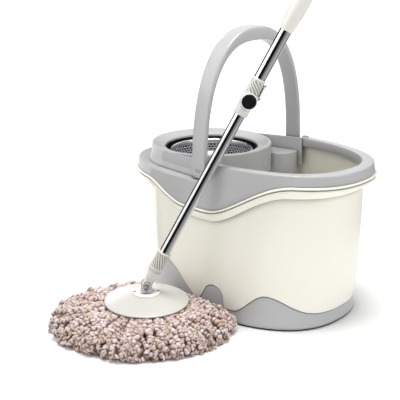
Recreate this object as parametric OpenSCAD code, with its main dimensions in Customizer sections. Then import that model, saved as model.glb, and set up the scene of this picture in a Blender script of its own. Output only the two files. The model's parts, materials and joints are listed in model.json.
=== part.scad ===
// Spin mop set: oval bucket with spin basket and carrying arch, and a mop with a
// telescopic hand-press pole. Millimetres, +Z up, origin on the floor under the bucket.

/* [Bucket] */
// Half length of the rim oval
rim_a = 237.6; // [200:280]
// Half depth of the rim oval
rim_b = 143.4; // [120:170]
// Height of the raised rim round the wash compartment
rim_z = 280; // [240:320]
// Height of the handle ledge round the collar
ledge_z = 245.5; // [210:300]
// Wall thickness of the tub
tub_wall = 3; // [2:0.5:5]
// Points round each oval section
oval_n = 96; // [48:8:128]

/* [Spinner] */
// Centre of the collar along the bucket
col_x = -95; // [-120:-70]
// Outer radius of the collar
col_r = 113.6; // [95:125]
// Height of the collar top
col_z = 277; // [250:300]
// Radius of the collar mouth
mouth_r = 88; // [80:98]
// Radius of the basket sheet at its rim
bas_r = 77.2; // [70:0.1:80]
// Height of the basket rim
bas_z = 259.9; // [250:0.1:265]
// Height of the basket floor
bas_floor = 180; // [170:190]
// Columns of drain holes
hole_cols = 36; // [12:60]
// Rows of drain holes
hole_rows = 4; // [1:6]

/* [Handle] */
// Pivot height
piv_z = 264.2; // [255:0.1:285]
// Pivot position along the bucket
piv_x = -3; // [-20:10]
// Top of the arch
arch_z = 498; // [420:540]
// Half span of the arch
arch_y = 138; // [130:142]
// Width of the arch strip
arch_w = 32; // [24:40]

/* [Mop head] */
// Mop centre along the bucket
mop_x = -34.8; // [-80:0.1:0]
// Mop centre in front of the bucket
mop_y = -235.1; // [-300:0.1:-230]
// Height of the yoke bolt
bolt_z = 69.8; // [60:0.1:75]
// Plate radius
plate_r = 73.6; // [65:85]
// Spread of the yarn
yarn_r = 170; // [120:190]

/* [Pole] */
// Lean of the pole from upright
lean = 28; // [0:45]
// Direction of the lean seen from above
turn = 46.5; // [0:0.5:90]
// Outer radius of the lower tube
low_r = 9.2; // [7:0.05:10]
// Outer radius of the upper tube
up_r = 9.95; // [8:0.05:12]
// Start of the middle connector along the pole
mid_s = 338; // [200:400]
// Start of the grip along the pole
grip_s = 491; // [400:600]
// Lead of the twisted rod
lead = 75; // [50:120]
// Height of the drive nut along the pole
nut_s = 575; // [450:620]

/* [Hidden] */
$fn = 64;
cream = "#f0eee0";
grey = "#b4b4b6";
dark = "#2a2b2d";
steel = "#c9cdd2";
white = "#f7f7f4";
ex = 2.4;
// where the rim steps up from the ledge, and over what length
step_x = 15.5;
step_w = 6;
// radius of the collar side of the rim's inner edge, and the raised opening's oval
edge_r = col_r + 0.6;
open_a = 215;
open_b = 128;
low_in = low_r - 0.85;
up_in = up_r - 0.6;
cap_s = grip_s + 184;
rod_s = 374;
// line across which the yarn is pressed flat by the bucket's foot
yarn_stop = -145;
// direction and amount in which the yarn is drawn in behind the plate
yarn_back = 132.5;
yarn_draw = 54;
// tangent wall that joins the collar to the raised rim
tan_p = [14 - col_x, open_b];
tan_a = atan2(tan_p[1], tan_p[0]) + acos(edge_r / norm(tan_p));

function S(t) = let(u = min(1, max(0, t))) u * u * (3 - 2 * u);
function mix(a, b, t) = a + (b - a) * t;
function pw(v, n) = sign(v) * pow(abs(v), 2 / n);
function oval(a, b, t, cx = 0, n = ex) = [cx + a * pw(cos(t), n), b * pw(sin(t), n)];
function hump(x, c, w) = abs(x - c) < w ? pow(cos(90 * (x - c) / w), 2) : 0;
// lower edge of the grey splash skirt
function skirt_z(x) = x < 0 ? 228 - 37 * S((x + 130) / 115) : 191 + 71 * S((x - 15) / 165);
function roll_h(x) = 14 + 3 * S(x / 150);
// top of the raised rim and of the handle ledge
function top_z(x) = ledge_z + (rim_z - ledge_z) * S((x - step_x) / step_w);
// wave-shaped top edge of the foot
function dome(x) = abs(x - 28) < 27 ? 30 + 29 * sqrt(1 - pow((x - 28) / 27, 2)) : 0;
function foot_z(x) = max(22 + 54 * hump(x, -100, 105), dome(x),
  x < 132 ? 22 + 39 * hump(x, 132, 58) : 27 + 34 * hump(x, 132, 85));
// oval of the body at a height
function body_a(z) = lookup(z, [[0, 196], [30, 199], [60, 204], [200, 212], [280, 215]]);
function body_b(z) = lookup(z, [[0, 139], [60, 137], [200, 137.5], [280, 138]]);
function body_x(z) = lookup(z, [[0, 8], [60, 11], [200, 6], [245, 2], [280, 0]]);
function body(t, z, o = 0) = oval(body_a(z) + o, body_b(z) + o, t, body_x(z));
function bp(t, z, o = 0) = let(q = body(t, z, o)) [q[0], q[1], z];
function rp(t, o, z) = let(q = oval(rim_a + o, rim_b + o, t)) [q[0], q[1], z];
// a point between body and rim oval: k = 0 body, 1 rim
function fl(t, z, k, o) = let(p = body(t, z, o), q = oval(rim_a + o, rim_b + o, t))
  [mix(p[0], q[0], k), mix(p[1], q[1], k), z];
// the rim's skirt leans inward with height, from 1.2 outside its oval at the bottom
function lean_in(z, x) = 1.2 - 2 * (z - skirt_z(x)) / (rim_z - skirt_z(x));
function xm(t) = oval(208, 137, t, 6)[0];
function xr(t) = oval(rim_a, rim_b, t)[0];
// distance from the collar centre to the raised outline in a direction
function out_d(f, r) = abs(f) >= tan_a ? r : r / cos(abs(f) - tan_a);
// inner edge of the rim: oval on the wash side, raised outline on the collar side
function rin(t, o) = let(p = oval(rim_a, rim_b, t), f = atan2(p[1], p[0] - col_x),
    d = out_d(f, edge_r) + o)
  p[0] > step_x ? oval(open_a + o, open_b + o, t) : [col_x + d * cos(f), d * sin(f)];
function band(x) = mix(3.2, 17, S((x - step_x) / step_w));
// angles round a section, closer together where the rim steps up
function ang(x) = acos(pow(x / rim_a, ex / 2));
ramp = [for (x = [24, 21.4, 19.8, 18.2, 16.6]) ang(x)];
function ts() = let(q = oval_n / 4) [for (i = [0 : oval_n - 1]) let(t = 360 * (i + 0.5) / oval_n)
  each i == q - 2 ? concat([t], ramp)
    : i == 3 * q ? concat([t], [for (j = [4 : -1 : 0]) 360 - ramp[j]]) : [t]];
function v3(p, z) = [p[0], p[1], z];

// skin a list of rings; closed = ring of rings, otherwise capped at both ends
module skin(r, closed = false) {
  n = len(r[0]);
  m = len(r);
  side = [for (j = [0 : closed ? m - 1 : m - 2]) for (i = [0 : n - 1])
    let(a = j * n + i, b = j * n + (i + 1) % n, c = ((j + 1) % m) * n + (i + 1) % n,
        d = ((j + 1) % m) * n + i) each [[a, c, b], [a, d, c]]];
  caps = closed ? [] : [[for (i = [0 : n - 1]) i], [for (i = [n - 1 : -1 : 0]) (m - 1) * n + i]];
  polyhedron([for (q = r) each q], concat(side, caps), convexity = 8);
}
module at_bolt() translate([mop_x, mop_y, bolt_z]) rotate([0, 0, turn]) children();
module on_pole(s = 0) at_bolt() rotate([0, lean, 0]) translate([0, 0, s]) children();
module on_mop() translate([mop_x, mop_y, 0]) rotate([0, 0, turn]) children();
module tube(ro, ri, h) difference() {
  cylinder(r = ro, h = h);
  translate([0, 0, -1]) cylinder(r = ri, h = h + 2);
}
module screw(r, l, hr, hh) {
  difference() {
    union() { cylinder(r = r, h = l); translate([0, 0, l]) cylinder(r = hr, h = hh); }
    translate([-hr, -0.4, l + hh - 0.8]) cube([2 * hr, 0.8, 2]);
    translate([-0.4, -hr, l + hh - 0.8]) cube([0.8, 2 * hr, 2]);
  }
}

module tub() color(cream) skin([
  [for (t = ts()) bp(t, 5.8, -8)],
  [for (t = ts()) bp(t, 14, -5.6)],
  [for (t = ts()) bp(t, foot_z(xm(t)) - 0.4, -5.6)],
  [for (t = ts()) bp(t, foot_z(xm(t)), 0)],
  [for (t = ts()) bp(t, 100, 0)],
  [for (t = ts()) bp(t, 150, 0)],
  [for (t = ts()) let(z = skirt_z(xr(t)) - roll_h(xr(t))) bp(t, z - 1, 0)],
  [for (t = ts()) let(x = xr(t), z = skirt_z(x) - roll_h(x)) fl(t, z, 0.3, 0.8)],
  [for (t = ts()) let(x = xr(t), z = skirt_z(x) - 0.9 * roll_h(x)) fl(t, z, 0.72, 1.6)],
  [for (t = ts()) let(x = xr(t), z = skirt_z(x) - 0.7 * roll_h(x)) fl(t, z, 0.95, 2.2)],
  [for (t = ts()) let(x = xr(t), z = skirt_z(x) - 0.35 * roll_h(x)) rp(t, 2.6, z)],
  [for (t = ts()) rp(t, 2.4, skirt_z(xr(t)) - 0.9)],
  [for (t = ts()) rp(t, 1.8, skirt_z(xr(t)) - 0.3)],
  [for (t = ts()) rp(t, -3.2, skirt_z(xr(t)) - 0.3)],
  [for (t = ts()) rp(t, -3.2, top_z(xr(t)) - 4.2)],
  [for (t = ts()) rp(t, -5.8, top_z(xr(t)) - 4.2)],
  [for (t = ts()) rp(t, -5.8, skirt_z(xr(t)) + 2)],
  [for (t = ts()) let(x = xr(t), z = skirt_z(x) - 0.4 * roll_h(x) + 3) fl(t, z, 0.7, -tub_wall)],
  [for (t = ts()) let(x = xr(t), z = skirt_z(x) - roll_h(x) + 3) fl(t, z, 0.12, -tub_wall)],
  [for (t = ts()) let(x = xr(t), z = skirt_z(x) - roll_h(x) - 6) bp(t, z, -tub_wall)],
  [for (t = ts()) bp(t, 120, -tub_wall)],
  [for (t = ts()) bp(t, foot_z(xm(t)) + 6, -tub_wall)],
  [for (t = ts()) bp(t, 16, -8.6)],
  [for (t = ts()) bp(t, 9, -11)]]);

module top_rim() color(grey) skin([
  [for (t = ts()) rp(t, 1.2, skirt_z(xr(t)))],
  [for (t = ts()) let(x = xr(t), z = top_z(x) - 2) rp(t, lean_in(z, x), z)],
  [for (t = ts()) let(x = xr(t), z = top_z(x) - 0.6) rp(t, lean_in(z, x) - 0.6, z)],
  [for (t = ts()) let(x = xr(t), z = top_z(x)) rp(t, lean_in(z, x) - 1.8, z)],
  [for (t = ts()) v3(rin(t, 1), top_z(xr(t)))],
  [for (t = ts()) v3(rin(t, 0), top_z(xr(t)) - 1)],
  [for (t = ts()) v3(rin(t, 0), top_z(xr(t)) - band(xr(t)))],
  [for (t = ts()) v3(rin(t, 2.6), top_z(xr(t)) - band(xr(t)))],
  [for (t = ts()) v3(rin(t, 2.6), top_z(xr(t)) - 3)],
  [for (t = ts()) rp(t, -3, top_z(xr(t)) - 3)],
  [for (t = ts()) rp(t, -2.8, skirt_z(xr(t)))]], true);

module pin_place() for (k = [0, 1]) mirror([0, k, 0]) translate([piv_x, 0, piv_z])
  rotate([-90, 0, 0]) children();
// upright post of the wall that runs from the collar to the wash compartment
wall_t = 3.2;
module post(p, top) translate([p[0], p[1], 226]) cylinder(r = wall_t / 2, h = top - 226, $fn = 24);
wall_path = let(r = col_r - wall_t / 2, f = atan2(open_b, 14 - col_x), d = r / cos(tan_a - f))
  [[col_x + r * cos(tan_a), r * sin(tan_a)], [col_x + d * cos(f), d * sin(f)],
    [23.6, d * sin(f) - 0.2]];
module side_wall() {
  hull() { post(wall_path[0], col_z - 2.9); post(wall_path[1], rim_z - 0.6); }
  hull() { post(wall_path[1], rim_z - 0.6); post(wall_path[2], rim_z - 0.6); }
}
// sloped foot of the collar on the ledge, as a section and as far as the handle
foot_w = 4.8;
foot_h = 10;
module flare_section() polygon([[col_r - 1.3, ledge_z + 0.3], [col_r + foot_w, ledge_z + 0.3],
  [col_r + foot_w, ledge_z + 1.7], [col_r - 1.3, ledge_z + foot_h]]);
module collar_foot() translate([col_x, 0, 0]) {
  rotate([0, 0, tan_a]) rotate_extrude(angle = 360 - 2 * tan_a, $fn = 96) flare_section();
  for (k = [0, 1]) mirror([0, k, 0]) rotate([0, 0, tan_a]) rotate([90, 0, 0])
    translate([0, 0, -0.7]) linear_extrude(height = 84.7) flare_section();
}
// half-round well between the collar and one side wall
module well_slab(r, z, h, out) intersection() {
  translate([-22, 112, z]) cylinder(r = r, h = h);
  translate([col_x, 0, 200]) rotate([0, 0, tan_a - 90]) translate([-30, 30, 0])
    cube([200, out, 60]);
}
module well() difference() {
  well_slab(40, 206, 48, 81);
  well_slab(37.4, 205, 46.5, 80);
  translate([col_x, 0, 200]) cylinder(r = col_r - 1.6, h = 60, $fn = 96);
}
module spinner_insert() color(grey) difference() {
  union() {
    translate([col_x, 0, 0]) rotate_extrude($fn = 96) polygon([[col_r, 226], [col_r, col_z - 2.5],
      [col_r - 2, col_z], [col_r - 5, col_z], [mouth_r + 2, col_z - 7.5], [mouth_r, col_z - 9.5],
      [mouth_r, 222], [mouth_r + 2.5, 222], [mouth_r + 2.5, col_z - 10.5], [col_r - 4.6, col_z - 3],
      [col_r - 3, col_z - 4], [col_r - 3, 226]]);
    collar_foot();
    for (k = [0, 1]) mirror([0, k, 0]) { side_wall(); well(); }
    pin_place() translate([0, 0, 123]) cylinder(r = 9, h = 5.4);
  }
  pin_place() translate([0, 0, 100]) cylinder(r = 4, h = 40);
}
module throat_liner() color(dark) translate([col_x, 0, 224]) tube(mouth_r - 0.1, mouth_r - 2.2, 42);
module insert_clips() color(grey) for (k = [0, 1]) mirror([0, k, 0])
  translate([22, 131, rim_z]) difference() {
    cube([9, 7, 2.4]);
    translate([2.5, -1, 1.4]) cube([4, 9, 2]);
  }
module base_skirt() color("#b8b9bb") skin([
  [for (t = ts()) bp(t, 3, 4)],
  [for (t = ts()) bp(t, 5, 4.3)],
  [for (t = ts()) bp(t, 3 + 0.25 * foot_z(xm(t)), 2.2)],
  [for (t = ts()) bp(t, 0.6 * foot_z(xm(t)), -0.2)],
  [for (t = ts()) bp(t, foot_z(xm(t)) - 0.9, -1.4)],
  [for (t = ts()) bp(t, foot_z(xm(t)) - 0.9, -5.2)],
  [for (t = ts()) bp(t, 15, -5.2)],
  [for (t = ts()) bp(t, 5.8, -7.6)]]);
module base_pad() color(dark) skin([
  [for (t = ts()) bp(t, 0, 2.8)],
  [for (t = ts()) bp(t, 0.8, 3.6)],
  [for (t = ts()) bp(t, 3, 3.6)]]);
module spinner_pillar() color(grey) translate([col_x, 0, 0]) rotate_extrude() polygon([
  [0, 9], [40, 9], [40, 12], [30, 14], [17, 140], [12, 144], [12, 166], [4, 166],
  [4, 116], [0, 116]]);
module basket_shaft() color(steel) translate([col_x, 0, 116]) union() {
  cylinder(r = 4, h = 114);
  translate([0, 0, 114]) cylinder(r1 = 4, r2 = 3, h = 1);
}
module shaft_washer() color(steel) translate([col_x, 0, 166]) tube(9, 4, 1.2);
module handle_pins() color(steel) pin_place() {
  translate([0, 0, 122.6]) cylinder(r = 4, h = 12.6);
  translate([0, 0, 135.1]) cylinder(r = 6.8, h = 2.4);
}

// arch curve in the plane across the bucket, thickness grows toward the grip
arch_ex = 2.35;
function arch_t(a) = 9 + 15 * pow(sin(a), 5);
function arch_p(a) = [-arch_y * pw(cos(a), arch_ex),
  piv_z + (arch_z - piv_z) * pw(sin(a), arch_ex)];
function arch_n(a) = let(p = arch_p(max(0, a - 1)), q = arch_p(min(180, a + 1)), d = q - p)
  [d[1], -d[0]] / norm(d);
module carry_handle() color(grey) difference() {
  union() {
    translate([piv_x - arch_w / 2, 0, 0]) rotate([90, 0, 90])
      linear_extrude(height = arch_w) polygon(concat(
        [for (a = [0 : 3 : 180]) arch_p(a)],
        [for (a = [180 : -3 : 0]) arch_p(a) + arch_t(a) * arch_n(a)]));
    pin_place() translate([0, 0, arch_y - 9]) linear_extrude(height = 9)
      translate([0, -0.2]) offset(r = 9.5) square([arch_w - 19, arch_w - 19], center = true);
  }
  pin_place() translate([0, 0, 120]) cylinder(r = 4.06, h = 30);
  pin_place() translate([0, 0, 135]) cylinder(r = 6.9, h = 10);
}

module basket_bowl() color(steel) translate([col_x, 0, 0]) difference() {
  rotate_extrude($fn = 96) polygon([[17, bas_floor], [60, bas_floor], [68, bas_floor + 3],
    [73, bas_floor + 10], [75, bas_floor + 20], [bas_r, bas_z], [bas_r - 0.9, bas_z],
    [74.1, bas_floor + 20], [72.2, bas_floor + 10.5], [67.5, bas_floor + 4], [60, bas_floor + 1],
    [17, bas_floor + 1]]);
  for (j = [0 : hole_rows - 1]) for (i = [0 : hole_cols - 1])
    rotate([0, 0, 360 * (i + 0.5 * (j % 2)) / hole_cols])
      translate([68, 0, 212 + 11 * j]) rotate([0, 90, 0]) cylinder(r = 2, h = 14, $fn = 8);
  for (i = [0 : 2]) rotate([0, 0, 120 * i]) translate([20.5, 0, 170]) cylinder(r = 1.5, h = 20);
}
module basket_ring() color(steel) translate([col_x, 0, bas_z + 1.6]) rotate_extrude($fn = 96)
  translate([bas_r - 0.4, 0]) circle(r = 1.6, $fn = 24);
module basket_hub() color(white) translate([col_x, 0, 0]) difference() {
  rotate_extrude() polygon([[8, 172], [24, 172], [24, 180], [17, 180], [17, 187], [11.5, 251],
    [8.5, 255], [0, 256], [0, 236], [8, 236]]);
  for (i = [0 : 2]) rotate([0, 0, 120 * i]) translate([20.5, 0, 170]) cylinder(r = 1.5, h = 20);
}
module basket_bush() color(dark) translate([col_x, 0, 167.3]) tube(8, 4.06, 68.6);
module hub_screws() color(steel) translate([col_x, 0, 0]) for (i = [0 : 2])
  rotate([0, 0, 120 * i]) translate([20.5, 0, 174]) screw(1.5, 7, 2.8, 1.8);

module mop_plate() color(cream) on_mop() difference() {
  rotate_extrude($fn = 96) polygon([[0, 52.5], [24, 52], [66, 41], [plate_r, 41], [plate_r, 43.8],
    [72.6, 45], [25, 56.5], [0, 56.5]]);
  for (k = [-1, 1]) translate([20.5 * k, 0, 52]) cylinder(r = 1.5, h = 10);
}
module yoke() color(steel) on_mop() difference() {
  union() {
    translate([0, 0, 56.5]) cylinder(r = 15.5, h = 2);
    for (k = [0, 1]) mirror([0, k, 0]) translate([0, 9.2, 0]) {
      translate([-9.5, 0, 57]) cube([19, 2, bolt_z - 57]);
      translate([0, 2, bolt_z]) rotate([90, 0, 0]) cylinder(r = 9.5, h = 2);
    }
  }
  translate([0, 20, bolt_z]) rotate([90, 0, 0]) cylinder(r = 3.02, h = 40);
}
module yoke_ring() color(white) on_mop() difference() {
  rotate_extrude() polygon([[15.7, 56.5], [24, 56.5], [24, 58], [23, 59], [17, 59.8],
    [0, 59.8], [0, 58.6], [15.7, 58.6]]);
  for (k = [-1, 1]) translate([20.5 * k, 0, 50]) cylinder(r = 1.5, h = 12);
  for (k = [-1, 1]) translate([20.5 * k, 0, 58.2]) cylinder(r = 2.6, h = 4);
  for (k = [0, 1]) mirror([0, k, 0]) translate([-9.7, 9, 58]) cube([19.4, 2.4, 4]);
}
module ring_screws() color(steel) on_mop() for (k = [-1, 1]) translate([20.5 * k, 0, 53])
  screw(1.5, 5.2, 2.5, 1.2);
module yoke_bolt() color(steel) at_bolt() rotate([90, 0, 0]) {
  translate([0, 0, -15]) cylinder(r = 3, h = 26.3);
  translate([0, 0, 11.2]) cylinder(r = 5.8, h = 4, $fn = 6);
}
module yoke_nut() color(steel) at_bolt() rotate([90, 0, 0]) translate([0, 0, -14.8])
  difference() {
    cylinder(r = 5.6, h = 3.6, $fn = 6);
    translate([0, 0, -1]) cylinder(r = 3, h = 6);
  }
module yoke_washers() color(white) at_bolt() rotate([90, 0, 0]) for (k = [0, 1])
  mirror([0, 0, k]) translate([0, 0, 8.2]) tube(7, 3.02, 1);
module refill_ring() color(white) on_mop() rotate_extrude($fn = 96)
  polygon([[38, 35], [66, 35], [66, 41], [38, 48.3]]);

// yarn: a soft flattened bundle, pressed flat where it meets the bucket
function yarn_d(f) = let(s = sin(f), lim = s > 0.02 ? (yarn_stop - mop_y) / s : 999,
  r = (yarn_r - yarn_draw * pow(max(0, cos(f - yarn_back)), 1.3)) * (1 - 0.03 * pow(sin(5.5 * f), 2)))
  1 / pow(pow(1 / r, 24) + pow(1 / lim, 24), 1 / 24);
function yarn_p(f, k, z) = let(r = k < 0 ? -k : mix(77, yarn_d(f), k))
  [mop_x + r * cos(f), mop_y + r * sin(f), z];
function yh(f, z, zs) = mix(z, zs, S((1.45 - yarn_d(f) / 100) / 0.6));
module yarn_skin(fs) skin([
  [for (f = fs) yarn_p(f, -26, 3)],
  [for (f = fs) yarn_p(f, -60, 0.6)],
  [for (f = fs) yarn_p(f, 0.75, 0.4)],
  [for (f = fs) yarn_p(f, 0.93, 3)],
  [for (f = fs) yarn_p(f, 1, yh(f, 11, 14))],
  [for (f = fs) yarn_p(f, 0.97, yh(f, 20, 32))],
  [for (f = fs) yarn_p(f, 0.82, yh(f, 31, 42))],
  [for (f = fs) yarn_p(f, 0.5, yh(f, 38, 45))],
  [for (f = fs) yarn_p(f, 0.15, yh(f, 41, 43))],
  [for (f = fs) yarn_p(f, -74.2, 40.4)],
  [for (f = fs) yarn_p(f, -66.8, 34.6)],
  [for (f = fs) yarn_p(f, -34, 34.6)]], true);
module mop_yarn() color("#cdb6a6") yarn_skin([for (i = [0 : 95]) 360 * i / 96]);

module lower_socket() color(cream) on_pole() difference() {
  union() {
    rotate([90, 0, 0]) translate([0, 0, -8.1]) cylinder(r = 8, h = 16.2);
    intersection() {
      cylinder(r = 8.1, h = 16);
      translate([-8, -8.1, 0]) cube([16, 16.2, 16]);
    }
    translate([0, 0, 12]) rotate_extrude() polygon([[0, 0], [7, 0], [9, 2], [11.8, 20],
      [11.8, 22.4], [low_r - 0.1, 22.4], [low_r - 0.1, 25.5], [low_in, 25.5], [low_in, 46], [0, 46]]);
  }
  rotate([90, 0, 0]) translate([0, 0, -20]) cylinder(r = 3.05, h = 40);
}
module lower_tube() color(steel) on_pole(37.5) tube(low_r, low_in, nut_s - 37.5);
module drive_nut() color(dark) on_pole(nut_s) difference() {
  union() {
    cylinder(r = low_r - 0.1, h = 6);
    translate([0, 0, -14]) cylinder(r = low_in, h = 14.1);
  }
  translate([0, 0, -15]) cylinder(r = 4.8, h = 18);
  translate([-4.5, -1.8, 2]) cube([9, 3.6, 5]);
}
// round bar with slanted grip ribs between two plain bands: r radius, cut groove depth,
// n ribs that turn by tw degrees, h height, lo and hi heights of the plain bands
module ribbed(r, cut, n, tw, h, lo, hi) {
  part = [0, 0.56, 0.66, 0.9];
  function rib_ring(z, c) = [for (i = [0 : 4 * n - 1])
    let(a = 360 * (floor(i / 4) + part[i % 4]) / n - tw * (z - lo) / (h - lo - hi),
        q = i % 4 < 2 ? r : r - c) [q * cos(a), q * sin(a), z]];
  skin(concat([rib_ring(0, 0), rib_ring(lo - 0.4, 0)],
    [for (j = [0 : 8]) rib_ring(mix(lo, h - hi, j / 8), cut)],
    [rib_ring(h - hi + 0.4, 0), rib_ring(h, 0)]));
}
module lower_sleeve() color(cream) on_pole(34.8) difference() {
  ribbed(12, 0.9, 16, 66, 34, 3.2, 2);
  translate([0, 0, -1]) cylinder(r = low_r + 0.06, h = 40);
}
module guide_bush() color(dark) on_pole(mid_s + 3) tube(10.9, low_r + 0.06, 15);
module upper_tube() color(steel) on_pole(mid_s + 19) tube(up_r, up_in, cap_s - mid_s - 19);
// place of the lock button, facing out of the pole
module on_button(y = 0) on_pole(mid_s + 27) rotate([90, 0, 0]) translate([0, 0, y]) children();
module lever_hole(r) translate([14.4, 10, 37.4]) rotate([90, 0, 0]) cylinder(r = r, h = 20);
module mid_housing() color(cream) difference() {
  union() {
    on_pole(mid_s) rotate_extrude() polygon([[0, 0], [11.4, 0], [12, 2], [12, 40.6], [0, 40.6]]);
    on_button() cylinder(r = 13.9, h = 11);
    on_pole(mid_s) for (k = [-1, 1]) translate([9.6, k * 5.7 - 1, 34]) cube([7, 2, 6.2]);
  }
  on_button(11) cylinder(r = 14, h = 9);
  on_pole(mid_s - 1) cylinder(r = low_r + 0.35, h = 4.5);
  on_pole(mid_s + 2.9) cylinder(r = 10.96, h = 15.2);
  on_pole(mid_s + 17) cylinder(r = up_r, h = 40);
  on_pole(mid_s) lever_hole(1.2);
}
module button_ring() color(white) on_button(11)
  rotate_extrude() polygon([[11.95, 0], [13.9, 0], [13.9, 4.2], [13.2, 5.2], [11.95, 5.2]]);
module lock_button() color(dark) on_button(13.6) difference() {
  rotate_extrude() polygon([[0, 0], [11.88, 0], [11.88, 2.6], [11, 3.4], [0, 3.4]]);
  rotate_extrude() polygon([[4, 3], [6, 3], [6, 4], [4, 4]]);
}
// flat helical spring
module button_spring() color(steel) on_button(11.5) skin([for (j = [0 : 40]) let(a = 18 * j)
    [for (i = [0 : 5]) let(r = 7 + 0.4 * cos(60 * i), z = 1.5 * j / 40 + 0.4 * sin(60 * i))
      [r * cos(a), r * sin(a), z]]]);
module lock_collar() color(cream) on_pole(mid_s + 41) difference() {
  ribbed(11.6, 0.9, 11, 170, 21, 0.9, 0.9);
  translate([0, 0, -1]) cylinder(r = up_r + 0.06, h = 24);
}
module collar_band() color(cream) on_pole(mid_s + 62.3) rotate_extrude()
  polygon([[up_r, 0], [11.6, 0], [11.6, 3.2], [11, 4.2], [up_r, 4.2]]);
module lever_pin() color(steel) on_pole(mid_s) intersection() {
  lever_hole(1.2);
  translate([10, -6.7, 30]) cube([10, 13.4, 12]);
}
// flip lever with a lifted finger tab at its free end
module clip_lever() color(white) on_pole(mid_s) difference() {
  union() {
    translate([14.4, 4.5, 37.4]) rotate([90, 0, 0]) cylinder(r = 2, h = 9);
    translate([12.6, -4.5, 37.4]) cube([2.2, 9, 22]);
    translate([0, 4.5, 0]) rotate([90, 0, 0]) linear_extrude(height = 9)
      polygon([[12.6, 57], [14.8, 57], [17.4, 61], [16.2, 62], [12.6, 59.4]]);
  }
  lever_hole(1.25);
}
module twisted_rod() color(steel) on_pole() skin([for (j = [0 : 60]) let(z = mix(rod_s, cap_s - 13, j / 60),
    a = 360 * (z - nut_s - 4) / lead)
  [for (q = [[4, -1], [4, 1], [0, 1], [-4, 1], [-4, -1], [0, -1]])
    [q[0] * cos(a) - q[1] * sin(a), q[0] * sin(a) + q[1] * cos(a), z]]]);
module rod_anchor() color(dark) on_pole(cap_s - 13) cylinder(r = up_in, h = 13);
module grip() color(cream) on_pole(grip_s) rotate_extrude() polygon([[up_r, 0], [10.6, 0],
  [11.2, 3], [12.4, 14], [14, 30], [14.4, 44], [13.6, 66], [12.8, 96], [13, 130], [14.2, 165],
  [14.6, 184], [14, 192], [up_r, 192]]);
module hang_cap() color(grey) on_pole(cap_s) difference() {
  union() {
    cylinder(r = up_r, h = 9);
    translate([0, 0, 8]) cylinder(r1 = 13.8, r2 = 13, h = 6);
    translate([-13, -4, 8]) cube([26, 8, 16]);
    translate([0, 4, 24]) rotate([90, 0, 0]) cylinder(r = 13, h = 8);
  }
  translate([0, 10, 24]) rotate([90, 0, 0]) cylinder(r = 8, h = 20);
}

tub();
top_rim();
spinner_insert();
throat_liner();
insert_clips();
base_skirt();
base_pad();
spinner_pillar();
basket_shaft();
shaft_washer();
handle_pins();
carry_handle();
basket_bowl();
basket_ring();
basket_hub();
basket_bush();
hub_screws();
mop_plate();
yoke();
yoke_ring();
ring_screws();
yoke_bolt();
yoke_nut();
yoke_washers();
refill_ring();
mop_yarn();
lower_socket();
lower_tube();
drive_nut();
lower_sleeve();
guide_bush();
upper_tube();
mid_housing();
button_ring();
collar_band();
lever_pin();
twisted_rod();
rod_anchor();
grip();
hang_cap();
lock_button();
button_spring();
lock_collar();
clip_lever();
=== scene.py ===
"""Looks of the spin mop set: detailed shells, yarn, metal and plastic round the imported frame."""
import json
import math

import bmesh
import bpy
import numpy as np
from mathutils import Matrix, Vector


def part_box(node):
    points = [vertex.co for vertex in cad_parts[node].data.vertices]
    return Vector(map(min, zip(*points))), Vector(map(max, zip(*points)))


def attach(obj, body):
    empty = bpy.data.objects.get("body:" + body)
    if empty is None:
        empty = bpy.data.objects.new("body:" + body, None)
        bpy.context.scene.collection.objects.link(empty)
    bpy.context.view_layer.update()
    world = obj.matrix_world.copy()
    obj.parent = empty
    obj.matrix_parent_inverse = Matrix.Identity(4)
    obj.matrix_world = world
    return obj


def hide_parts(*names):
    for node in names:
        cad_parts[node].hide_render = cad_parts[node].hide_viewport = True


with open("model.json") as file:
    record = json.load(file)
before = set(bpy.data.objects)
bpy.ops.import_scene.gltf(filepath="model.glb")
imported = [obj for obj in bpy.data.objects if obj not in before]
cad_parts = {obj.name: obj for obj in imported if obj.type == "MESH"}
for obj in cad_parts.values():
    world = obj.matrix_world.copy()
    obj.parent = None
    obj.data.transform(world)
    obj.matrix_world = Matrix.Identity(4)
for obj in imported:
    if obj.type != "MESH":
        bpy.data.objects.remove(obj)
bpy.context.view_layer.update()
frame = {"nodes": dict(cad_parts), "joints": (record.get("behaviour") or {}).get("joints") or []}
JOINTS = {j["name"]: j for j in frame["joints"]}

MM = 0.001

# ---- sizes shared with the frame, in millimetres ----
RIM_OUT, RIM_LEAN = 1.2, 2  # how far the splash skirt stands out at its foot, and leans back above
RIM_LO, RIM_HI = (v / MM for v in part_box("top_rim"))
RIM_A, RIM_B = (RIM_HI.x - RIM_LO.x) / 2 - RIM_OUT, (RIM_HI.y - RIM_LO.y) / 2 - RIM_OUT
RIM_Z = RIM_HI.z
LEDGE_Z = RIM_Z - 34.5  # the low part of the rim, where the handle stands
BASKET_LO, BASKET_HI = (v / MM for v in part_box("basket_bowl"))
SPIN_X = (BASKET_LO.x + BASKET_HI.x) / 2
FLARE_W = 4.8  # how far the collar's sloped foot stands out
COLLAR_R = SPIN_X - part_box("spinner_insert")[0].x / MM - FLARE_W
COLLAR_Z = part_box("spinner_insert")[1].z / MM - 2.4
COLLAR_GAP = 0.6  # between the collar's outline and the rim round it
MOUTH_R = 88  # the collar's mouth
HANDLE_LO, HANDLE_HI = (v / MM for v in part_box("carry_handle"))
HANDLE_X = (HANDLE_LO.x + HANDLE_HI.x) / 2
HANDLE_W = HANDLE_HI.x - HANDLE_LO.x
HANDLE_Y = HANDLE_HI.y
PIVOT_Z = JOINTS["handle_swing"]["pos_m"][2] / MM
ARCH_Z = HANDLE_HI.z
WALL_END = (14, 128)  # where the collar's tangent walls meet the raised rim
STEP_X, STEP_W = 15.5, 6  # where the rim steps up from the ledge
OPEN_A, OPEN_B = 215, 128  # half length and width of the rim's opening
TUB_WALL = 3

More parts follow.
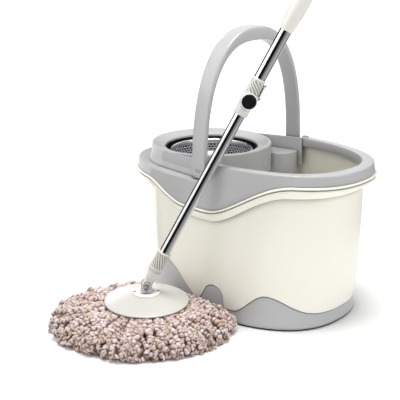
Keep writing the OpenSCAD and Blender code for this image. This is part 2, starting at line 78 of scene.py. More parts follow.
# the pole's own axes, from its joints
BOLT = Vector(JOINTS["pole_tilt"]["pos_m"])
POLE_Z = Vector(JOINTS["pole_stroke"]["axis"]).normalized()
POLE_Y = -Vector(JOINTS["pole_tilt"]["axis"]).normalized()
POLE_X = POLE_Y.cross(POLE_Z)
LOWER_R, UPPER_R = 9.2, 9.95
# where the middle connector, the grip, the drive nut and the end cap start, up from the bolt
MID_S, GRIP_S, NUT_S, CAP_S = 338, 491, 575, 675
BUTTON_S = 27  # the lock button's axis above the foot of the middle connector
QUARTER_TURN = Matrix.Rotation(math.pi / 2, 4, "X")
MOP = Vector((BOLT.x, BOLT.y, 0)) / MM
PLATE_R = 73.6
YARN_R = 170
YARN_BACK, YARN_DRAW = math.radians(132.5), 54  # where and how far the yarn is drawn in
YARN_FRONT, YARN_SHORT = math.radians(312.6), 12  # the short side, and how much shorter
YARN_FULL, YARN_TUCK = math.radians(222.6), 8  # where it spreads widest, and how much less opposite
YARN_STOP_Y = -145


def smooth(t):
    t = np.clip(t, 0, 1)
    return t * t * (3 - 2 * t)


def mix(a, b, t):
    return a + (b - a) * t


# ---- shapes of the bucket ----
OVAL_POWER = 2.4  # 2 is an ellipse, more is squarer


def section_angles(count=288):
    """Angles round a section, closer together where the rim steps up."""
    even = (np.arange(count) + 0.5) * 2 * math.pi / count
    steps = np.arccos((np.arange(STEP_X - 2, STEP_X + 9, 0.9) / RIM_A) ** (OVAL_POWER / 2))
    return np.unique(np.concatenate([even, steps, 2 * math.pi - steps]))


ANGLES = section_angles()


def oval(a, b, centre_x=0.0):
    c, s = np.cos(ANGLES), np.sin(ANGLES)
    x = centre_x + a * np.sign(c) * np.abs(c) ** (2 / OVAL_POWER)
    y = b * np.sign(s) * np.abs(s) ** (2 / OVAL_POWER)
    return x, y


def ring(x, y, z):
    return np.stack([x, y, np.broadcast_to(z, x.shape)], 1)


DIP_Z, DIP_ROUND = 194.0, 4.0  # the rounded bottom of the dip


def skirt_z(x):
    """Lower edge of the splash skirt, with its dip below the handle."""
    edge = np.where(x < 0, 228 - 33 * smooth((x + 138) / 114), 195 + 67 * smooth((x - 12) / 168))
    return DIP_Z + np.hypot(edge - DIP_Z, DIP_ROUND)


def roll_height(x):
    """Height of the rounded roll below the skirt."""
    return 19 + 4 * smooth(x / 150)


def top_z(x):
    """The handle ledge at the collar end, rising to the raised rim."""
    return LEDGE_Z + (RIM_Z - LEDGE_Z) * smooth((x - STEP_X) / STEP_W)


def hump(x, centre, width):
    return np.where(np.abs(x - centre) < width, np.cos(math.pi / 2 * (x - centre) / width) ** 2, 0)


def foot_z(x):
    """Wave-shaped top edge of the foot, with a small dome near the middle."""
    dome = np.where(np.abs(x - 28) < 27, 30 + 29 * np.sqrt(np.clip(1 - ((x - 28) / 27) ** 2, 0, 1)), 0)
    right = np.where(x < 132, 22 + 39 * hump(x, 132, 58), 27 + 34 * hump(x, 132, 85))
    return np.maximum.reduce([22 + 54 * hump(x, -100, 105), dome, right])


# half length, half width and middle of the tub at several heights: (heights), (values)
BODY_HEIGHTS = {
    "a": ((0, 30, 60, 200, 280), (196, 199, 204, 212, 215)),
    "b": ((0, 60, 200, 280), (139, 137, 137.5, 138)),
    "x": ((0, 60, 200, 245, 280), (8, 11, 6, 2, 0)),
}


def body_oval(z, offset=0.0):
    """The tub's outer wall at height z, which may differ round the ring."""
    a, b, cx = (np.interp(z, *BODY_HEIGHTS[k]) for k in ("a", "b", "x"))
    return oval(a + offset, b + offset, cx)


def body_ring(z, offset=0.0):
    return ring(*body_oval(z, offset), z)


def rim_ring(offset, z):
    return ring(*oval(RIM_A + offset, RIM_B + offset), z)


def flare_ring(z, k, offset):
    """Between the body wall (k = 0) and the rim oval (k = 1)."""
    bx, by = body_oval(z, offset)
    rx, ry = oval(RIM_A + offset, RIM_B + offset)
    return ring(mix(bx, rx, k), mix(by, ry, k), z)


X_RIM = oval(RIM_A, RIM_B)[0]
X_FOOT = oval(208, 137, 6)[0]
WALL_ANGLE = math.atan2(WALL_END[1], WALL_END[0] - SPIN_X) + math.acos(
    (COLLAR_R + COLLAR_GAP) / math.hypot(WALL_END[0] - SPIN_X, WALL_END[1]))


def inner_rim_ring(offset, z):
    """Inner edge of the rim: an oval round the wash side, the collar's outline on the other."""
    px, py = oval(RIM_A, RIM_B)
    f = np.arctan2(py, px - SPIN_X)
    r = COLLAR_R + COLLAR_GAP
    d = np.where(np.abs(f) >= WALL_ANGLE, r, r / np.cos(np.abs(f) - WALL_ANGLE))
    wx, wy = oval(OPEN_A + offset, OPEN_B + offset)
    left = px <= STEP_X
    x = np.where(left, SPIN_X + (d + offset) * np.cos(f), wx)
    y = np.where(left, (d + offset) * np.sin(f), wy)
    return ring(x, y, z)


# ---- mesh helpers ----
def new_object(name, points, faces, scale=MM):
    mesh = bpy.data.meshes.new(name)
    mesh.from_pydata([tuple(p) for p in np.asarray(points, float) * scale], [], faces)
    mesh.validate()
    obj = bpy.data.objects.new(name, mesh)
    bpy.context.scene.collection.objects.link(obj)
    return obj


def soften(obj, sharp_deg, bevel_mm=0.0, segments=3):
    """Smooth shading with creases, and rounded edges where asked."""
    obj.data.shade_smooth()
    if bevel_mm:
        mod = obj.modifiers.new("round", "BEVEL")
        mod.width = bevel_mm * MM
        mod.segments = segments
        mod.limit_method = "ANGLE"
        mod.angle_limit = math.radians(sharp_deg)
        mod.harden_normals = True
    else:
        obj.data.set_sharp_from_angle(angle=math.radians(sharp_deg))
    return obj


def skin(n, m, closed=False, start=0):
    """Faces over m rings of n points, numbered from start; the two ends are capped unless closed."""
    faces = []
    for j in range(m if closed else m - 1):
        low, high = start + j * n, start + (j + 1) % m * n
        faces += [(low + i, low + (i + 1) % n, high + (i + 1) % n, high + i) for i in range(n)]
    if not closed:
        faces.append(tuple(start + i for i in range(n - 1, -1, -1)))
        faces.append(tuple(start + (m - 1) * n + i for i in range(n)))
    return faces


def loft(name, rings, closed=False):
    """Skin over a list of rings; closed joins the last ring to the first."""
    return new_object(name, np.concatenate(rings), skin(len(rings[0]), len(rings), closed))


def lathe_data(profile, segments, closed):
    """Points and faces of a (radius, height) profile turned about Z. Points on the axis merge."""
    points, faces, rows = [], [], []
    for r, z in profile:
        if r < 1e-6:
            rows.append([len(points)] * segments)
            points.append((0, 0, z))
        else:
            rows.append(list(range(len(points), len(points) + segments)))
            turns = [2 * math.pi * i / segments for i in range(segments)]
            points += [(r * math.cos(a), r * math.sin(a), z) for a in turns]
    m = len(profile)
    for j in range(m if closed else m - 1):
        a, b = rows[j], rows[(j + 1) % m]
        for i in range(segments):
            e = (i + 1) % segments
            face = list(dict.fromkeys((a[i], a[e], b[e], b[i])))
            if len(face) > 2:
                faces.append(tuple(face))
    return points, faces


def lathe(name, profile, segments=96):
    """Turned solid; a profile that starts and ends on the axis needs no closing face."""
    return new_object(name, *lathe_data(profile, segments, closed=profile[0][0] > 0))


def place(obj, matrix):
    obj.data.transform(matrix)
    return obj


def pole_matrix(s=0.0, turned=None):
    """From a piece's own millimetre axes, already in metres, to its place along the pole."""
    base = Matrix((POLE_X, POLE_Y, POLE_Z)).transposed().to_4x4()
    base.translation = BOLT + POLE_Z * s * MM
    return base @ turned if turned else base


def mop_matrix():
    flat = Vector((POLE_Z.x, POLE_Z.y, 0)).normalized()
    base = Matrix((flat, Vector((-flat.y, flat.x, 0)), Vector((0, 0, 1)))).transposed().to_4x4()
    base.translation = MOP * MM
    return base


def join(name, objects):
    bpy.ops.object.select_all(action="DESELECT")
    for o in objects:
        o.select_set(True)
    bpy.context.view_layer.objects.active = objects[0]
    bpy.ops.object.join()
    objects[0].name = name
    return objects[0]


def fix_normals(obj, merge=0.0):
    """Turn all faces outward, after joining points closer than merge, in metres."""
    bm = bmesh.new()
    bm.from_mesh(obj.data)
    if merge:
        bmesh.ops.remove_doubles(bm, verts=bm.verts, dist=merge)
    bmesh.ops.recalc_face_normals(bm, faces=bm.faces)
    bm.to_mesh(obj.data)
    bm.free()
    return obj


def write_mark(obj, name, values):
    """One number per point, for the material to read."""
    data = obj.data.attributes.new(name, "FLOAT", "POINT").data
    data.foreach_set("value", np.asarray(values, np.float32))


# ---- materials ----
def material(name):
    mat = bpy.data.materials.new(name)
    mat.use_nodes = True
    tree = mat.node_tree
    return mat, tree, tree.nodes["Principled BSDF"]


def fill(node, values):
    """Set a node's inputs by name."""
    for name, value in values.items():
        node.inputs[name].default_value = value


def noise(tree, scale, detail, roughness):
    """Noise in the object's own space."""
    node = tree.nodes.new("ShaderNodeTexNoise")
    fill(node, {"Scale": scale, "Detail": detail, "Roughness": roughness})
    coords = tree.nodes.new("ShaderNodeTexCoord").outputs["Object"]
    tree.links.new(coords, node.inputs["Vector"])
    return node.outputs["Fac"]


def map_range(tree, source, limits):
    """Straight-line change of a value; limits are (from min, from max, to min, to max)."""
    node = tree.nodes.new("ShaderNodeMapRange")
    fill(node, dict(zip(("From Min", "From Max", "To Min", "To Max"), limits)))
    tree.links.new(source, node.inputs["Value"])
    return node.outputs["Result"]


def ramp(tree, source, stops):
    """A colour ramp over source; stops are (place, colour or grey)."""
    node = tree.nodes.new("ShaderNodeValToRGB")
    tree.links.new(source, node.inputs["Fac"])
    while len(node.color_ramp.elements) < len(stops):
        node.color_ramp.elements.new(0.5)
    for element, (where, colour) in zip(node.color_ramp.elements, stops):
        element.position = where
        element.color = (*colour, 1) if isinstance(colour, tuple) else (colour, colour, colour, 1)
    return node.outputs["Color"]


def drive(tree, shader, socket, source, stops):
    """Feed a shader input from a ramp over source."""
    tree.links.new(ramp(tree, source, stops), shader.inputs[socket])


def dim(colour, factor):
    return tuple(c * factor for c in colour)


def bump(tree, shader, height, strength, distance):
    node = tree.nodes.new("ShaderNodeBump")
    fill(node, {"Strength": strength, "Distance": distance})
    tree.links.new(height, node.inputs["Height"])
    tree.links.new(node.outputs["Normal"], shader.inputs["Normal"])


def multiply(tree, first, second):
    node = tree.nodes.new("ShaderNodeMix")
    node.data_type = "RGBA"
    node.blend_type = "MULTIPLY"
    fill(node, {"Factor": 1})
    tree.links.new(first, node.inputs["A"])
    tree.links.new(second, node.inputs["B"])
    return node.outputs["Result"]


def mark(tree, name):
    """The number a mesh carries for each of its points."""
    node = tree.nodes.new("ShaderNodeAttribute")
    node.attribute_name = name
    return node.outputs["Fac"]


def painted_crease_shade(tree, reach, shade):
    """Painted shade in creases and under lips, as a factor on the colour."""
    node = tree.nodes.new("ShaderNodeAmbientOcclusion")
    node.samples = 8
    fill(node, {"Distance": reach})
    return ramp(tree, node.outputs["AO"], [(0.3, shade), (0.85, 1.0)])


GROOVE_SHADE = 0.58  # how dark the painted shade at the bottom of a groove is
CREASE_REACH, CREASE_SHADE = 0.014, 0.5  # how far the painted shade reaches out of a crease, and its darkest tone
YARN_CREASE, YARN_SHADE = 0.02, (0.64, 0.54, 0.49)  # the same between the strands of yarn


def plastic(name, colour, rough, grain, shade, shine=0.5, grooved=False):
    """Moulded plastic: faint flow mottling, fine grain, slightly uneven gloss, and painted shade in creases
    and, when grooved, in the grooves.
    """
    mat, tree, shader = material(name)
    base = ramp(tree, noise(tree, 5, 2, 0.5), [(0.3, dim(colour, 1 - shade)), (0.7, colour)])
    if grooved:
        # painted shade in the bottoms of the ribs' grooves
        grooves = ramp(tree, mark(tree, "groove"), [(0.15, 1.0), (0.7, GROOVE_SHADE)])
        base = multiply(tree, base, grooves)
    # painted shade in creases and under lips
    base = multiply(tree, base, painted_crease_shade(tree, CREASE_REACH, CREASE_SHADE))
    tree.links.new(base, shader.inputs["Base Color"])
    drive(tree, shader, "Roughness", noise(tree, 22, 3, 0.5), [(0.3, rough * 0.94), (0.7, rough * 1.08)])
    bump(tree, shader, noise(tree, 1600, 2, 0.5), grain, 0.0001)
    fill(shader, {"IOR": 1.5, "Specular IOR Level": shine})
    return mat


def chrome(name, colour, rough):
    """Polished tube: near-mirror with faint long draw marks and light handling haze."""
    mat, tree, shader = material(name)
    fill(shader, {"Metallic": 1, "Base Color": (*colour, 1)})
    drive(tree, shader, "Roughness", noise(tree, 45, 5, 0.6), [(0.35, rough * 0.7), (0.75, rough * 1.6)])
    bump(tree, shader, noise(tree, 900, 2, 0.5), 0.012, 0.0002)
    return mat


def steel(name, colour, rough):
    """Pressed or turned steel with fine brushing and small tone changes."""
    mat, tree, shader = material(name)
    fill(shader, {"Metallic": 1})
    drive(tree, shader, "Base Color", noise(tree, 70, 4, 0.6), [(0.3, dim(colour, 0.88)), (0.7, colour)])
    brushed = noise(tree, 2200, 2, 0.6)
    drive(tree, shader, "Roughness", brushed, [(0.2, rough * 0.75), (0.8, rough * 1.3)])
    bump(tree, shader, brushed, 0.05, 0.0002)
    return mat


def rubber(name, colour):
    """Matt black rubber with a coarse grain."""
    mat, tree, shader = material(name)
    drive(tree, shader, "Base Color", noise(tree, 35, 4, 0.6), [(0.3, dim(colour, 0.7)), (0.7, colour)])
    fill(shader, {"Roughness": 0.7})
    bump(tree, shader, noise(tree, 1800, 3, 0.6), 0.25, 0.0004)
    return mat


def chenille(name):
    """Microfibre bobbles: beige, rose-brown, tan and lilac-white, with painted shade in the necks between
    and between the strands.
    """
    mat, tree, shader = material(name)
    rose, beige, brown = (0.72, 0.54, 0.48), (0.80, 0.65, 0.57), (0.55, 0.40, 0.36)
    lilac, tan = (0.86, 0.78, 0.79), (0.68, 0.52, 0.42)
    sand, pale = (0.84, 0.73, 0.68), (0.88, 0.82, 0.85)
    # painted shade across each bobble: darkest in the necks between bobbles, lightest on the crowns
    neck, slope, crown = (0.10, 0.065, 0.06), (0.66, 0.62, 0.61), (0.94, 0.93, 0.93)
    tint = ramp(tree, mark(tree, "tuft"), [(0.0, rose), (0.22, beige), (0.44, sand), (0.54, lilac),
                                           (0.72, pale), (0.78, brown), (0.88, rose), (0.94, tan)])
    painted_neck_shade = ramp(tree, mark(tree, "depth"), [(0.0, neck), (0.6, slope), (1.0, crown)])
    pile = noise(tree, 1100, 4, 0.7)
    fleck = ramp(tree, pile, [(0.3, (0.88, 0.86, 0.85)), (0.62, (1.0, 1.0, 1.0))])
    base = multiply(tree, multiply(tree, tint, painted_neck_shade), fleck)
    # painted shade between the strands of yarn
    base = multiply(tree, base, painted_crease_shade(tree, YARN_CREASE, YARN_SHADE))
    tree.links.new(base, shader.inputs["Base Color"])
    fill(shader, {"Roughness": 0.95, "Sheen Weight": 0.3, "Sheen Roughness": 0.5})
    bump(tree, shader, pile, 0.5, 0.0012)
    return mat


# colour, roughness, grain and mottling
CREAM = plastic("cream_plastic", (0.86, 0.845, 0.755), 0.36, 0.01, 0.01)
# the plate's cream plastic, dimmed as painted shade against the light on its upward face
PLATE_SHADED_CREAM = plastic("plate_cream_painted_shade", (0.59, 0.58, 0.535), 0.34, 0.01, 0.01)
FITTING_COLOUR = (0.66, 0.645, 0.60)
FITTING = plastic("fitting_plastic", FITTING_COLOUR, 0.3, 0.03, 0.03)
RIBBED = plastic("ribbed_plastic", FITTING_COLOUR, 0.3, 0.03, 0.03, grooved=True)
GREY = plastic("grey_plastic", (0.44, 0.44, 0.445), 0.3, 0.02, 0.015)
FOOT = plastic("foot_plastic", (0.46, 0.465, 0.47), 0.36, 0.02, 0.015)
GRIP = plastic("grip_plastic", (0.72, 0.70, 0.66), 0.24, 0.02, 0.02)
WHITE = plastic("white_plastic", (0.86, 0.86, 0.85), 0.22, 0.01, 0.015)
BLACK = plastic("black_plastic", (0.008, 0.008, 0.009), 0.3, 0.04, 0.3, shine=0.2)
RUBBER = rubber("rubber_pad", (0.035, 0.036, 0.04))
CHROME = chrome("chrome_tube", (0.92, 0.92, 0.925), 0.035)
STEEL = steel("basket_steel", (0.60, 0.61, 0.63), 0.3)
# steel of the basket's lip: smoother than the bowl, and its lighter colour is a painted highlight
LIP_HIGHLIGHT_STEEL = steel("lip_steel_painted_highlight", (0.9, 0.9, 0.9), 0.16)
ZINC = steel("zinc_hardware", (0.38, 0.39, 0.40), 0.3)
YARN = chenille("chenille_yarn")


def dress(obj, mat, body, slot, *nodes):
    """Material, body and the CAD nodes the piece stands for."""
    obj.data.materials.clear()
    obj.data.materials.append(mat)
    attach(obj, body)
    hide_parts(*nodes)


# ---- bucket ----
# drop, reach from the wall to the rim, and offset of the rounded roll under the splash rim
ROLL = ((1.0, 0.0, -1.4), (0.99, 0.02, 2.4), (0.985, 0.04, 4.8), (0.96, 0.08, 6.3), (0.9, 0.16, 7.0),
        (0.75, 0.36, 6.8), (0.6, 0.6, 5.9), (0.48, 0.84, 4.8), (0.4, 1.0, 3.6))
# offset and drop of the groove and the lip above the roll
LIP = ((3.0, 6.4), (0.4, 6.0), (0.2, 4.8), (2.8, 4.3), (4.1, 3.5), (4.5, 2.4), (4.2, 1.2), (3.3, 0.5),
       (1.2, 0.35))


def make_tub():
    """Tub: the outside from the floor up over the roll and the lip, then back down the inside."""
    skirt, roll, top = skirt_z(X_RIM), roll_height(X_RIM), top_z(X_RIM)
    foot = foot_z(X_FOOT)
    shoulder = ((-0.2, -5.6), (0.1, -0.7), (0.4, -0.15), (1, 0))
    rings = [body_ring(5.8, -8), body_ring(14, -5.6)]
    rings += [body_ring(foot + up, offset) for up, offset in shoulder]
    rings += [body_ring(mix(foot + 2, skirt - roll - 2, t)) for t in (0, 0.2, 0.45, 0.7, 0.9, 1)]
    rings += [flare_ring(skirt - drop * roll, reach, offset) for drop, reach, offset in ROLL]
    rings += [rim_ring(offset, skirt - drop) for offset, drop in LIP]
    rings += [rim_ring(-3.2, skirt - 0.35), rim_ring(-3.2, top - 4.2), rim_ring(-5.8, top - 4.2),
              rim_ring(-5.8, skirt + 2), flare_ring(skirt - 0.4 * roll + 3, 0.7, -TUB_WALL),
              flare_ring(skirt - roll + 3, 0.12, -TUB_WALL), body_ring(skirt - roll - 6, -TUB_WALL),
              body_ring(120, -TUB_WALL), body_ring(foot + 6, -TUB_WALL)]
    rings += [body_ring(z, offset) for z, offset in ((16, -8.6), (10, -10), (9, -13))]
    tub = fix_normals(loft("tub_shell", rings))
    dress(soften(tub, 40), CREAM, "bucket", "cream_plastic", "tub")


def lean_in(z, skirt):
    """The rim's skirt leans inward with height above its lower edge."""
    return RIM_OUT - RIM_LEAN * (z - skirt) / (RIM_Z - skirt)


def make_rim():
    """Grey splash rim: a skirt that leans in a little toward its rounded top edge."""
    x = X_RIM
    top, skirt = top_z(x), skirt_z(x)
    band = mix(3.2, 17, smooth((x - STEP_X) / STEP_W))  # depth of the rim's inner edge
    rings = [rim_ring(-2.8, skirt), rim_ring(0.5, skirt), rim_ring(1.0, skirt + 0.3),
             rim_ring(RIM_OUT, skirt + 1)]
    for t in (0.25, 0.5, 0.75, 0.95, 1):
        z = mix(skirt, top - 2.6, t)
        rings.append(rim_ring(lean_in(z, skirt), z))
    edge = lean_in(top, skirt)
    rounded = ((-0.1, 1.6), (-0.5, 0.8), (-1.2, 0.25), (-2.2, 0))
    rings += [rim_ring(edge + offset, top - drop) for offset, drop in rounded]
    rings.append(rim_ring(-6, top))
    inside = ((3, 0), (1.6, 0.1), (0.5, 0.7), (0, 2), (0, band - 0.5), (0.4, band), (2.6, band), (2.6, 3))
    rings += [inner_rim_ring(offset, top - drop) for offset, drop in inside]
    rings.append(rim_ring(-3, top - 3))
    rim = fix_normals(loft("splash_rim", rings, closed=True))
    dress(soften(rim, 40), GREY, "bucket", "grey_plastic", "top_rim")


# the foot's outside, as (share of its height, offset), and its top edge, as (drop, offset)
FOOT_SCOOP = ((0.08, 4.0), (0.16, 3.2), (0.27, 2.1), (0.4, 1.0), (0.55, 0.1), (0.7, -0.5), (0.85, -0.9))
FOOT_LIP = ((2.4, -1.1), (1.8, -1.5), (1.6, -2.2), (1.6, -5.2))


def make_foot():
    """Foot shell: flares out in a shallow scoop, with a wave-shaped top edge round the tub."""
    top = foot_z(X_FOOT)
    rings = [body_ring(z, offset) for z, offset in ((3, -6), (3, 3.5), (3.5, 4.1), (5, 4.3))]
    rings += [body_ring(mix(5, top - 1, t), offset) for t, offset in FOOT_SCOOP]
    rings += [body_ring(top - drop, offset) for drop, offset in FOOT_LIP]
    rings += [body_ring(15, -5.2), body_ring(5.8, -7.6)]
    foot = fix_normals(loft("foot_shell", rings))
    dress(soften(foot, 40), FOOT, "bucket", "base_grey", "base_skirt")


def make_pad():
    """Rubber strip the foot stands on."""
    rings = [body_ring(z, offset) for z, offset in ((0, 2.4), (0.3, 3.1), (0.8, 3.4), (3, 3.4))]
    pad = fix_normals(loft("rubber_foot", rings))
    dress(soften(pad, 40), RUBBER, "bucket", "rubber_pad", "base_pad")


def spin_place():
    return Matrix.Translation((SPIN_X * MM, 0, 0))


def outline(along):
    """Point and outward direction of the collar's tangent wall, a distance past where it leaves."""
    n = (math.cos(WALL_ANGLE), math.sin(WALL_ANGLE))
    return (SPIN_X + COLLAR_R * n[0] + along * n[1], COLLAR_R * n[1] - along * n[0]), n


def wall_strip(side):
    """Side wall from the collar to the wash compartment, side = 1 at the back or -1 in front."""
    low, half = 226, 1.6
    reach = math.hypot(WALL_END[0] - SPIN_X, WALL_END[1])
    length = math.sqrt(reach ** 2 - COLLAR_R ** 2)
    stations = []
    for along in np.linspace(-3, length - 1, 14):
        (x, y), n = outline(along)
        top = mix(COLLAR_Z - 2.9, RIM_Z - 0.6, max(0, along) / length)
        stations.append((x - half * n[0], y - half * n[1], *n, half, top))
    y_end = stations[-1][1]
    end_x = 23.4
    stations.append((WALL_END[0] + 4, y_end + 0.1, 0, 1, half, RIM_Z - 0.6))
    stations += [(end_x + half * math.sin(a), y_end + 0.1, 0, 1, max(0.05, half * math.cos(a)), RIM_Z - 0.6)
                 for a in np.linspace(0, math.pi / 2, 7)]
    section = [(1, None), (1, -1.6), (0.82, -0.5), (0, 0), (-0.82, -0.5), (-1, -1.6), (-1, None)]
    rings = []
    for x, y, nx, ny, h, top in stations:
        rings.append([(x + k * h * nx, side * (y + k * h * ny), low if dz is None else top + dz)
                      for k, dz in section])
    return loft("strip", rings)


def collar_flare():
    """Sloped foot of the collar on the ledge, from one handle foot round to the other."""
    section = [(-1.4, 0.2), (4.4, 0.2), (FLARE_W, 0.6), (FLARE_W, 1.3), (4.5, 2.1), (1.1, 8.6), (0.4, 10),
               (-0.3, 11.4), (-1.4, 11.6)]
    stations = [outline(a) for a in np.linspace(84, 4, 12)]
    for f in np.linspace(WALL_ANGLE, 2 * math.pi - WALL_ANGLE, 120):
        n = (math.cos(f), math.sin(f))
        stations.append(((SPIN_X + COLLAR_R * n[0], COLLAR_R * n[1]), n))
    stations += [((x, -y), (n[0], -n[1])) for (x, y), n in reversed(stations[:12])]
    return loft("flare", [[(x + d * n[0], y + d * n[1], LEDGE_Z + z) for d, z in section]
                          for (x, y), n in stations])


def well(side):
    """Half-round well between the collar and a tangent wall: a dished shelf on a curved wall."""
    cx, cy, radius = -22, 112, 40
    low, shelf, inset = 206.0, 254.0, 3.0
    nx, ny = math.cos(WALL_ANGLE), math.sin(WALL_ANGLE)
    arc = []
    for a in np.linspace(-math.pi, math.pi, 241):
        px, py = cx + radius * math.cos(a), cy + radius * math.sin(a)
        in_wall = (px - SPIN_X) * nx + py * ny < COLLAR_R - 2.6
        out_collar = math.hypot(px - SPIN_X, py) > COLLAR_R - 1.5
        if in_wall and out_collar and px > SPIN_X:
            arc.append((px, py))
    arc = np.array(arc)
    toward = np.array([[cx, cy]]) - arc
    toward /= np.linalg.norm(toward, axis=1)[:, None]
    rows = [(0, low), (0, shelf - 2.5), (0.6, shelf - 0.8), (1.6, shelf), (inset, shelf)]
    n = len(arc)
    pts, faces = [], []
    for inward, z in rows:
        pts += [(x, side * y, z) for x, y in arc + toward * inward]
    for j in range(len(rows) - 1):
        faces += [(j * n + i, j * n + i + 1, (j + 1) * n + i + 1, (j + 1) * n + i) for i in range(n - 1)]
    corner = WALL_ANGLE - 0.28  # the shelf's far corner, behind the collar
    d = (COLLAR_R - 2.0) / math.cos(WALL_ANGLE - corner)
    pts.append((SPIN_X + d * math.cos(corner), side * d * math.sin(corner), shelf - 1))
    last = (len(rows) - 1) * n
    faces += [(last + i, last + i + 1, len(pts) - 1) for i in range(n - 1)]
    return new_object("well", pts, faces)


def make_insert():
    """Collar round the basket with its sloped foot, side walls, wells and the handle's pivot eyes."""
    r, m, top = COLLAR_R, MOUTH_R, COLLAR_Z
    profile = [(r, 226), (r, 250), (r, top - 3.6), (r - 0.2, top - 2.4), (r - 0.8, top - 1.2),
               (r - 1.8, top - 0.4), (r - 3.2, top), (r - 5, top - 0.1), (r - 7, top - 0.8),
               (m + 5.6, top - 6.2), (m + 4.4, top - 6.4), (m + 3.2, top - 6.2), (m + 2, top - 6.4),
               (m + 0.9, top - 7), (m + 0.2, top - 8), (m, top - 9.5), (m, 240), (m, 222), (m + 2.5, 222),
               (m + 2.5, top - 10.5), (r - 4.6, top - 3.4), (r - 3, top - 4.4), (r - 3, 226)]
    parts = [place(lathe("collar", profile, 240), spin_place()), collar_flare()]
    parts += [make(side) for side in (1, -1) for make in (wall_strip, well)]
    eye = [(4.05, 123), (8.4, 123), (9, 123.6), (9, 127.9), (8.6, 128.3), (4.05, 128.3)]
    pivot = Matrix.Translation((HANDLE_X * MM, 0, PIVOT_Z * MM))
    for side in (1, -1):
        turned = Matrix.Rotation(-side * math.pi / 2, 4, "X")
        parts.append(place(lathe("boss", eye, 40), pivot @ turned))
    insert = fix_normals(join("spinner_tray", parts))
    dress(soften(insert, 38), GREY, "bucket", "grey_plastic", "spinner_insert")


# ---- carrying handle ----
ARCH_POWER = 2.35  # how square the arch's shoulders are; 2 would be a half ellipse


def arch_centre(a):
    """The arch's outer line, as (y, z), from the front foot over to the back one."""
    power = 2 / ARCH_POWER
    c, s = math.cos(a), math.sin(a)
    return (-HANDLE_Y * math.copysign(abs(c) ** power, c), PIVOT_Z + (ARCH_Z - PIVOT_Z) * abs(s) ** power)


def rounded_section(width, depth, radius, steps=5):
    """Corner-rounded rectangle from (0..depth) inwards, centred on the width."""
    pts = []
    for cx, cy, start in ((width / 2 - radius, radius, -90), (width / 2 - radius, depth - radius, 0),
                          (-width / 2 + radius, depth - radius, 90), (-width / 2 + radius, radius, 180)):
        for i in range(steps + 1):
            a = math.radians(start + 90 * i / steps)
            pts.append((cx + radius * math.cos(a), cy + radius * math.sin(a)))
    return pts


def handle_foot(side):
    """Rounded square end of the arch round its pivot, with a recess for the pin head."""
    edge = np.array([(w, d - HANDLE_W / 2) for w, d in rounded_section(HANDLE_W, HANDLE_W, 9.5, 14)])
    unit = edge / np.linalg.norm(edge, axis=1)[:, None]
    back = HANDLE_Y - 9
    levels = [(unit * 4.1, back), (edge * 0.95, back), (edge, back + 0.7), (edge, HANDLE_Y - 1.7),
              (edge * 0.985, HANDLE_Y - 0.8), (edge * 0.95, HANDLE_Y - 0.2), (edge * 0.9, HANDLE_Y),
              (unit * 8.6, HANDLE_Y), (unit * 7.4, HANDLE_Y - 0.4), (unit * 6.95, HANDLE_Y - 1.2),
              (unit * 6.95, HANDLE_Y - 2.9), (unit * 4.1, HANDLE_Y - 2.9)]
    rings = [[(HANDLE_X + u, side * y, PIVOT_Z + v + 0.2) for u, v in flat] for flat, y in levels]
    return loft("foot", rings, closed=True)


def make_handle():
    """Flat carrying arch, deepest at the top, on two rounded feet."""
    rings = []
    for a in np.linspace(0, math.pi, 121):
        p = Vector(arch_centre(a))
        ahead, behind = Vector(arch_centre(min(math.pi, a + 0.01))), Vector(arch_centre(max(0, a - 0.01)))
        along = (ahead - behind).normalized()
        inward = Vector((along.y, -along.x))
        depth = 9 + 15 * math.sin(a) ** 5
        rings.append([(HANDLE_X + w, p.x + inward.x * d, p.y + inward.y * d)
                      for w, d in rounded_section(HANDLE_W, depth, 4.3)])
    pieces = [loft("arch", rings)]
    pieces += [handle_foot(side) for side in (1, -1)]
    handle = fix_normals(join("handle_arch", pieces))
    dress(soften(handle, 50), GREY, "carry_handle", "grey_plastic", "carry_handle")


# ---- spin basket ----
COLUMNS, ROWS = 72, 11  # drain holes round the basket and up its wall
HOLE_R = 2.15
HOLES_LOW, HOLES_HIGH = 200.0, 254.0
CELL_W, CELL_H = 2 * math.pi * 76 / COLUMNS, (HOLES_HIGH - HOLES_LOW) / ROWS


def wall_radius(z):
    return mix(75, 76.9, (z - 200) / 60)


def cell_places(mid_u, mid_z):
    """Places on the wall round one square cell, a point of its border and of its hole in turn.

    A place is (u, z), with u in columns round the wall."""
    corners = [(-1, -1), (1, -1), (1, 1), (-1, 1)]
    places = []
    for (ax, ay), (bx, by) in zip(corners, corners[1:] + corners[:1]):
        for t in (0, 0.25, 0.5, 0.75):
            right, up = mix(ax, bx, t), mix(ay, by, t)
            a = math.atan2(up, right)
            places.append((mid_u + right / 2, mid_z + up * CELL_H / 2))
            places.append((mid_u + HOLE_R * math.cos(a) / CELL_W, mid_z + HOLE_R * math.sin(a)))
    return places


def drilled_wall():
    """Points and faces of the wall's middle: a square cell round each hole, in staggered rows."""
    pts, faces, known = [], [], {}
    for j in range(ROWS):
        for i in range(COLUMNS):
            cell = []
            for u, z in cell_places(i + 0.5 + 0.5 * (j % 2), HOLES_LOW + CELL_H * (j + 0.5)):
                key = (round(u % COLUMNS * 1000), round(z * 1000))
                if key not in known:
                    known[key] = len(pts)
                    turn = 2 * math.pi * u / COLUMNS
                    pts.append((wall_radius(z) * math.cos(turn), wall_radius(z) * math.sin(turn), z))
                cell.append(known[key])
            n = len(cell)
            faces += [(cell[k], cell[(k + 2) % n], cell[(k + 3) % n], cell[k + 1]) for k in range(0, n, 2)]
    return pts, faces


